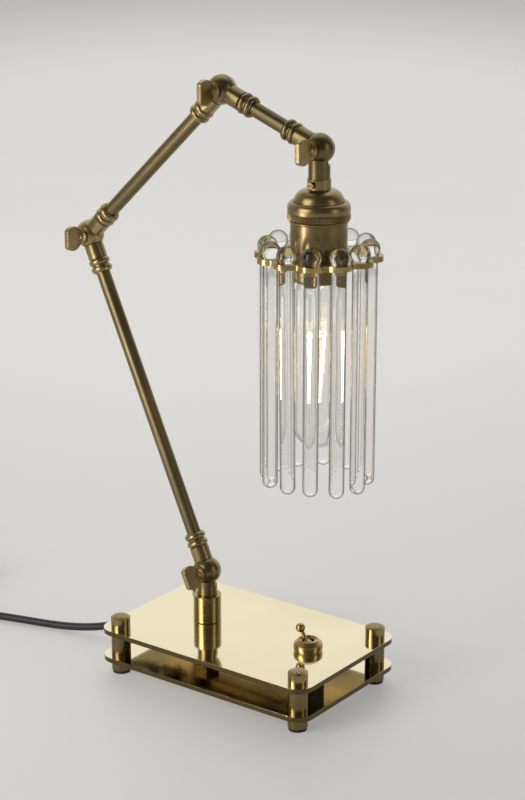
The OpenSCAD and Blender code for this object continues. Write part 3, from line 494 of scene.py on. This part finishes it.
for degrees in range(6, 90, 6):
    angle = math.radians(degrees)
    outside.append((dome_middle + dome_radius * math.cos(angle), dome_drop + dome_radius * math.sin(angle)))
outside += [(0.0068, -0.0059), (0.0068, -0.0003), (0.0065, 0), (0.0049, 0), (0.0049, -0.0068),
            (0.0075, -0.0070), (0.0125, -0.0096), (0.0135, -0.0140), (0.0163, -0.0160), (0.0164, -0.0233)]
turn_skin(cap, outside, cap_sides, (head_x, 0, cap_high.z))
# Each knurl point carries a colour scale of painted light: grooves darkened as painted shade, diamond tops
# brightened as a painted highlight.
painted_knurl_light = cap.verts.layers.float.new("painted_knurl_light")
for point in cap.verts:
    point[painted_knurl_light] = 1.0
    height = point.co.z - cap_high.z
    radius = math.hypot(point.co.x - head_x, point.co.y)
    if knurl_low < height < knurl_high and radius > band_radius - 0.0001:
        round_share = knurl_teeth * math.atan2(point.co.y, point.co.x - head_x) / (2 * math.pi)
        rise = (height - knurl_low) / knurl_pitch
        slopes = [1 - abs(2 * (slope % 1) - 1) for slope in (round_share + rise, round_share - rise)]
        land = min(*slopes, knurl_flat)
        point[painted_knurl_light] = groove_painted_shade + (land_painted_highlight - groove_painted_shade) * (land / knurl_flat) ** 2
        grow = 1 + knurl_depth * (land - 0.5) / radius
        point.co.x = head_x + (point.co.x - head_x) * grow
        point.co.y *= grow
cap_shape = shape_of(cap, "lampholder_cap")
knurled_brass = spun_brass.copy()
knurled_brass.name = "knurled_brass"
tree = knurled_brass.node_tree
skin = tree.nodes["Principled BSDF"]
# The spun brass colour is scaled by the knurl's painted shade and painted highlight.
painted_knurl_light_read = add(tree, "ShaderNodeAttribute", attribute_name="painted_knurl_light")
painted_knurl_tone = add(tree, "ShaderNodeVectorMath", operation="SCALE")
spun_tone = skin.inputs["Base Color"].links[0].from_socket
tree.links.new(spun_tone, painted_knurl_tone.inputs["Vector"])
tree.links.new(painted_knurl_light_read.outputs["Fac"], painted_knurl_tone.inputs["Scale"])
tree.links.new(painted_knurl_tone.outputs["Vector"], skin.inputs["Base Color"])
new_piece("lampholder_cap", cap_shape, knurled_brass, "head", "socket_cap")
glazed, tree, skin = new_finish("glazed_core")
_, tone = speckle(tree, scale=220.0, detail=4.0, dark=(0.70, 0.67, 0.60), pale=(0.80, 0.78, 0.72))
tree.links.new(tone, skin.inputs["Base Color"])
set_inputs(skin, Roughness=0.2)
dress(glazed, "socket_core")

# Crown: a scalloped brass plate with a lobe and a hole for each rod, clamped against the
# shell's flange by a screwed ring.
crown_brass = brass("crown_brass", (0.52, 0.40, 0.18), (0.24, 0.175, 0.07),
                    spread=130, polish=0.22, haze=0.28, lines=300, amount=0.8, edge=0.0004)
dress(crown_brass, "crown_plate", "crown_ring")

# Glass rods: solid clear rods with a ball melted on at the top, by which they hang in
# the crown, and a fire-polished round end.
def clear_glass(name, ior, streak, scale, bump, distance, painted_edge_tints):
    finish, tree, skin = new_finish(name)
    where = add(tree, "ShaderNodeTexCoord")
    stretch = add(tree, "ShaderNodeMapping")
    stretch.inputs["Scale"].default_value = streak
    striae = add(tree, "ShaderNodeTexNoise")
    set_inputs(striae, Scale=scale, Detail=2.0)
    ripple = add(tree, "ShaderNodeBump")
    set_inputs(ripple, Strength=bump, Distance=distance)
    tree.links.new(where.outputs["Object"], stretch.inputs["Vector"])
    tree.links.new(stretch.outputs["Vector"], striae.inputs["Vector"])
    tree.links.new(striae.outputs["Fac"], ripple.inputs["Height"])
    tree.links.new(ripple.outputs["Normal"], skin.inputs["Normal"])
    # The base colour darkens toward each outline, near black at the edge: painted shade for dark
    # surroundings seen through the glass.
    grazing = add(tree, "ShaderNodeLayerWeight")
    set_inputs(grazing, Blend=0.5)
    depth = add(tree, "ShaderNodeValToRGB")
    bands = depth.color_ramp.elements
    for band, (facing, tint) in zip(bands, (painted_edge_tints[0], painted_edge_tints[-1])):
        band.position = facing
        band.color = (*tint, 1)
    for facing, tint in painted_edge_tints[1:-1]:
        bands.new(facing).color = (*tint, 1)
    tree.links.new(grazing.outputs["Facing"], depth.inputs["Fac"])
    tree.links.new(depth.outputs["Color"], skin.inputs["Base Color"])
    set_inputs(skin, Roughness=0.0, IOR=ior, Transmission_Weight=1.0)
    return finish


rod_glass = clear_glass("rod_glass", ior=1.5, streak=(1, 1, 0.06), scale=420.0, bump=0.14, distance=0.0002,
                        painted_edge_tints=((0.24, (0.98, 0.975, 0.955)), (0.47, (0.46, 0.44, 0.33)),
                               (0.64, (0.025, 0.021, 0.012))))
crown_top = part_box("crown_plate")[1].z
rod_radius, rod_length, rod_circle, rod_sides = 0.0045, 0.1373, 0.0293, 48
ball_radius, ball_lift, neck_blend = 0.0058, 0.0035, 0.0006
first_rod, slanting_rod, slant, slant_x, slant_y = 177.6, 3, 0.0012, 0.80, 0.60
hang = (0, 0.0002, 0, 0.0004, 0.0010, -0.0006, -0.0012, -0.0002, 0.0003, -0.0003, 0.0005, -0.0002)
quarter_turn = [math.radians(7.5 * k) for k in range(13)]
waist = math.degrees(math.asin(rod_radius / ball_radius))
neck = ball_lift - ball_radius * math.cos(math.radians(waist)) - neck_blend
ball_steps, ball_foot = 20, 176 - waist
arc = [math.radians(ball_foot * (1 - k / ball_steps)) for k in range(ball_steps)]
ball = [(ball_radius * math.sin(a), ball_lift + ball_radius * math.cos(a)) for a in arc]
rods = bmesh.new()
for i, drop in enumerate(hang):
    angle = math.radians(first_rod + 360 / len(hang) * i)
    low = drop - rod_length
    profile = [(rod_radius * math.sin(a), low + rod_radius * (1 - math.cos(a))) for a in quarter_turn]
    profile += [(rod_radius, low + rod_length * share) for share in (0.2, 0.4, 0.6, 0.8)]
    profile += [(rod_radius, neck), *ball, (0, ball_lift + ball_radius)]
    hole = (head_x + rod_circle * math.cos(angle), rod_circle * math.sin(angle), crown_top)
    before = len(rods.verts)
    turn_skin(rods, profile, rod_sides, hole)
    if i == slanting_rod:
        for point in list(rods.verts)[before:]:
            aside = slant * max(crown_top - point.co.z, 0) / rod_length
            point.co.x += slant_x * aside
            point.co.y += slant_y * aside
new_piece("clear_rods", shape_of(rods, "clear_rods"), rod_glass, "head", "glass_rods")

# Bulb: a clear blown tube, cemented in a screw cap. A glass stem inside it carries
# a cage of glowing wire, wider at the top than at the foot.
# The bulb's glass is painted darker toward its outline too: painted shade.
bulb_glass = clear_glass("bulb_glass", ior=1.46, streak=(1, 1, 1), scale=60.0, bump=0.04, distance=0.0003,
                         painted_edge_tints=((0.45, (0.97, 0.975, 0.965)), (0.85, (0.50, 0.48, 0.41))))
bulb_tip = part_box("bulb_glass")[0].z
bulb_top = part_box("bulb_glass")[1].z
bulb_radius, neck_radius, glass_wall = 0.015, 0.0123, 0.0008
bulb_sides, shoulder_steps = 64, 12
shoulder_low, shoulder_high = bulb_top - 0.017, bulb_top - 0.008


def envelope(inset):
    radius = bulb_radius - inset
    end = [(radius * math.sin(a), bulb_tip + bulb_radius - radius * math.cos(a)) for a in quarter_turn]
    side = [(radius, bulb_tip + 0.05), (radius, shoulder_low - 0.002)]
    for k in range(1, shoulder_steps):
        ease = (1 - math.cos(math.pi * k / shoulder_steps)) / 2
        side.append((radius - (bulb_radius - neck_radius) * ease,
                     shoulder_low + (shoulder_high - shoulder_low) * k / shoulder_steps))
    return end + side + [(neck_radius - inset, shoulder_high + 0.001), (neck_radius - inset, bulb_top)]


tube = bmesh.new()
turn_skin(tube, envelope(0) + envelope(glass_wall)[::-1], bulb_sides, (head_x, 0, 0))
new_piece("bulb_envelope", shape_of(tube, "bulb_envelope"), bulb_glass, "head", "bulb_glass")
dress(bulb_glass, "bulb_stem")
glow, tree, skin = new_finish("filament_glow")
_, heat = speckle(tree, scale=120.0, detail=2.0, dark=(1.0, 0.55, 0.20), pale=(1.0, 0.78, 0.48))
tree.links.new(heat, skin.inputs["Emission Color"])
set_inputs(skin, Base_Color=(0.3, 0.25, 0.2, 1), Emission_Strength=22.0)
dress(glow, "filament")

# Mains cord: black round cord that comes out between the plates, sinks to the table and
# runs off to a tied coil with its plug, out of the camera's sight.
jacket = rubber("cord_jacket", scale=700.0, detail=4.0, dark=(0.010, 0.010, 0.010),
                pale=(0.026, 0.026, 0.027), bump=0.2, distance=0.0001, roughness=0.42)
dress(jacket, "feed_wire", "arm_wire")
cord_radius = 0.0025
coil_x, coil_y, coil_low = -0.267, -0.0101, 0.0011
route = [(-0.054, 0, 0.0146), (-0.062, 0, 0.0146), (-0.070, 0, 0.0146), (-0.080, 0, 0.0146),
         (-0.089, -0.001, 0.0134), (-0.098, -0.0034, 0.0110), (-0.108, -0.0066, 0.0078),
         (-0.120, -0.0102, 0.0050), (-0.133, -0.0140, 0.0033), (-0.147, -0.0179, 0.0026),
         (-0.165, -0.0229, 0.0026), (-0.183, -0.0280, 0.0026), (-0.201, -0.0331, 0.0026),
         (-0.219, -0.0382, 0.0026), (-0.238, -0.0436, 0.0030)]
start_turn = -74.3
turn_radii = [0.040, 0.035, 0.030, 0.025, 0.020, 0.020, 0.025, 0.030, 0.035, 0.040]
levels = [0] * 5 + [1] * 5
whole_turns = len(turn_radii) - 1
last_part_turn, change_over = 105.7, 290
swept = last_part_turn + 360 * whole_turns
steps = 16 * whole_turns + 5
for step in range(steps + 1):
    gone = swept * step / steps
    turn = int(gone // 360)
    shift = min(max((gone % 360 - change_over) / (360 - change_over), 0), 1)
    shift = shift * shift * (3 - 2 * shift)
    after = min(turn + 1, whole_turns)
    radius = turn_radii[turn] + (turn_radii[after] - turn_radii[turn]) * shift
    level = levels[turn] + (levels[after] - levels[turn]) * shift
    angle = math.radians(start_turn - gone)
    route.append((coil_x + radius * math.cos(angle), coil_y + radius * math.sin(angle),
                  coil_low + cord_radius + 2 * cord_radius * level))
tail_x, tail_y, plug_z = coil_x - 0.040, coil_y + 0.022, 0.009
route += [(tail_x, coil_y + 0.011, 0.0088), (tail_x, tail_y, plug_z)]
path = bpy.data.curves.new("mains_cord", "CURVE")
path.dimensions = "3D"
path.bevel_depth = cord_radius
path.bevel_resolution = 5
path.use_fill_caps = True
path.resolution_u = 6
line = path.splines.new("BEZIER")
line.bezier_points.add(len(route) - 1)
for bend, place in zip(line.bezier_points, route):
    bend.co = place
    bend.handle_left_type = bend.handle_right_type = "AUTO"
path.materials.append(jacket)
cord = bpy.data.objects.new("mains_cord", path)
scene.collection.objects.link(cord)
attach(cord, "base")
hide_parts("cord_lead", "cord_coil", "cord_tail")

# Plug: a moulded two-blade plug with a ribbed strain relief on the cord's far end.
# A woven strap, folded round one side of the coil, holds the spare length together.
plug = bmesh.new()
plug_sides, rib_count, rib_pitch, rib_length = 40, 6, 0.0028, 0.0018
rib_growth, rib_height = 0.00022, 0.0003
relief = [(0.0031, 0)]
for k in range(rib_count):
    start = 0.0022 + rib_pitch * k
    width = 0.0033 + rib_growth * k
    ridge = width + rib_height
    relief += [(width, start), (ridge, start + rib_height),
               (ridge, start + rib_length - rib_height), (width, start + rib_length)]
sections = [(r, r, 2.0, y) for r, y in relief]
sections += [(0.0046, 0.0046, 2.0, 0.0190), (0.0066, 0.0062, 2.3, 0.0200), (0.0092, 0.0080, 2.8, 0.0222),
             (0.0106, 0.0088, 3.4, 0.0262), (0.0110, 0.0090, 3.8, 0.0310), (0.0106, 0.0087, 4.0, 0.0350),
             (0.0108, 0.0089, 4.0, 0.0390), (0.0110, 0.0090, 4.0, 0.0440), (0.0109, 0.0089, 4.0, 0.0455),
             (0.0104, 0.0084, 4.0, 0.0460)]
rings = []
for half_width, half_height, square, along in sections:
    ring = []
    for k in range(plug_sides):
        angle = 2 * math.pi * k / plug_sides
        cos, sin = math.cos(angle), math.sin(angle)
        reach = (abs(cos) ** square + abs(sin) ** square) ** (-1 / square)
        place = (tail_x + half_width * reach * cos, tail_y + along, plug_z + half_height * reach * sin)
        ring.append(plug.verts.new(place))
    rings.append(ring)
for near, far in zip(rings, rings[1:]):
    for k in range(plug_sides):
        after = (k + 1) % plug_sides
        plug.faces.new((near[k], far[k], far[after], near[after]))
plug.faces.new(rings[0])
plug.faces.new(rings[-1][::-1])
plug_shape = shape_of(plug, "moulded_plug")
plug = new_piece("moulded_plug", plug_shape, phenolic, "base", "plug_body")
strap, tree, skin = new_finish("woven_strap")
where = add(tree, "ShaderNodeTexCoord")
weave = add(tree, "ShaderNodeTexBrick", offset=0.5)
set_inputs(weave, Color1=(0.016, 0.016, 0.017, 1), Color2=(0.030, 0.030, 0.032, 1),
           Mortar=(0.004, 0.004, 0.004, 1), Scale=320.0, Mortar_Size=0.03, Brick_Width=0.5,
           Row_Height=0.35)
threads = add(tree, "ShaderNodeBump", invert=True)
set_inputs(threads, Strength=0.4, Distance=0.0002)
tree.links.new(where.outputs["Object"], weave.inputs["Vector"])
tree.links.new(weave.outputs["Color"], skin.inputs["Base Color"])
tree.links.new(weave.outputs["Fac"], threads.inputs["Height"])
tree.links.new(threads.outputs["Normal"], skin.inputs["Normal"])
set_inputs(skin, Roughness=0.75)
dress(strap, "cord_tie")
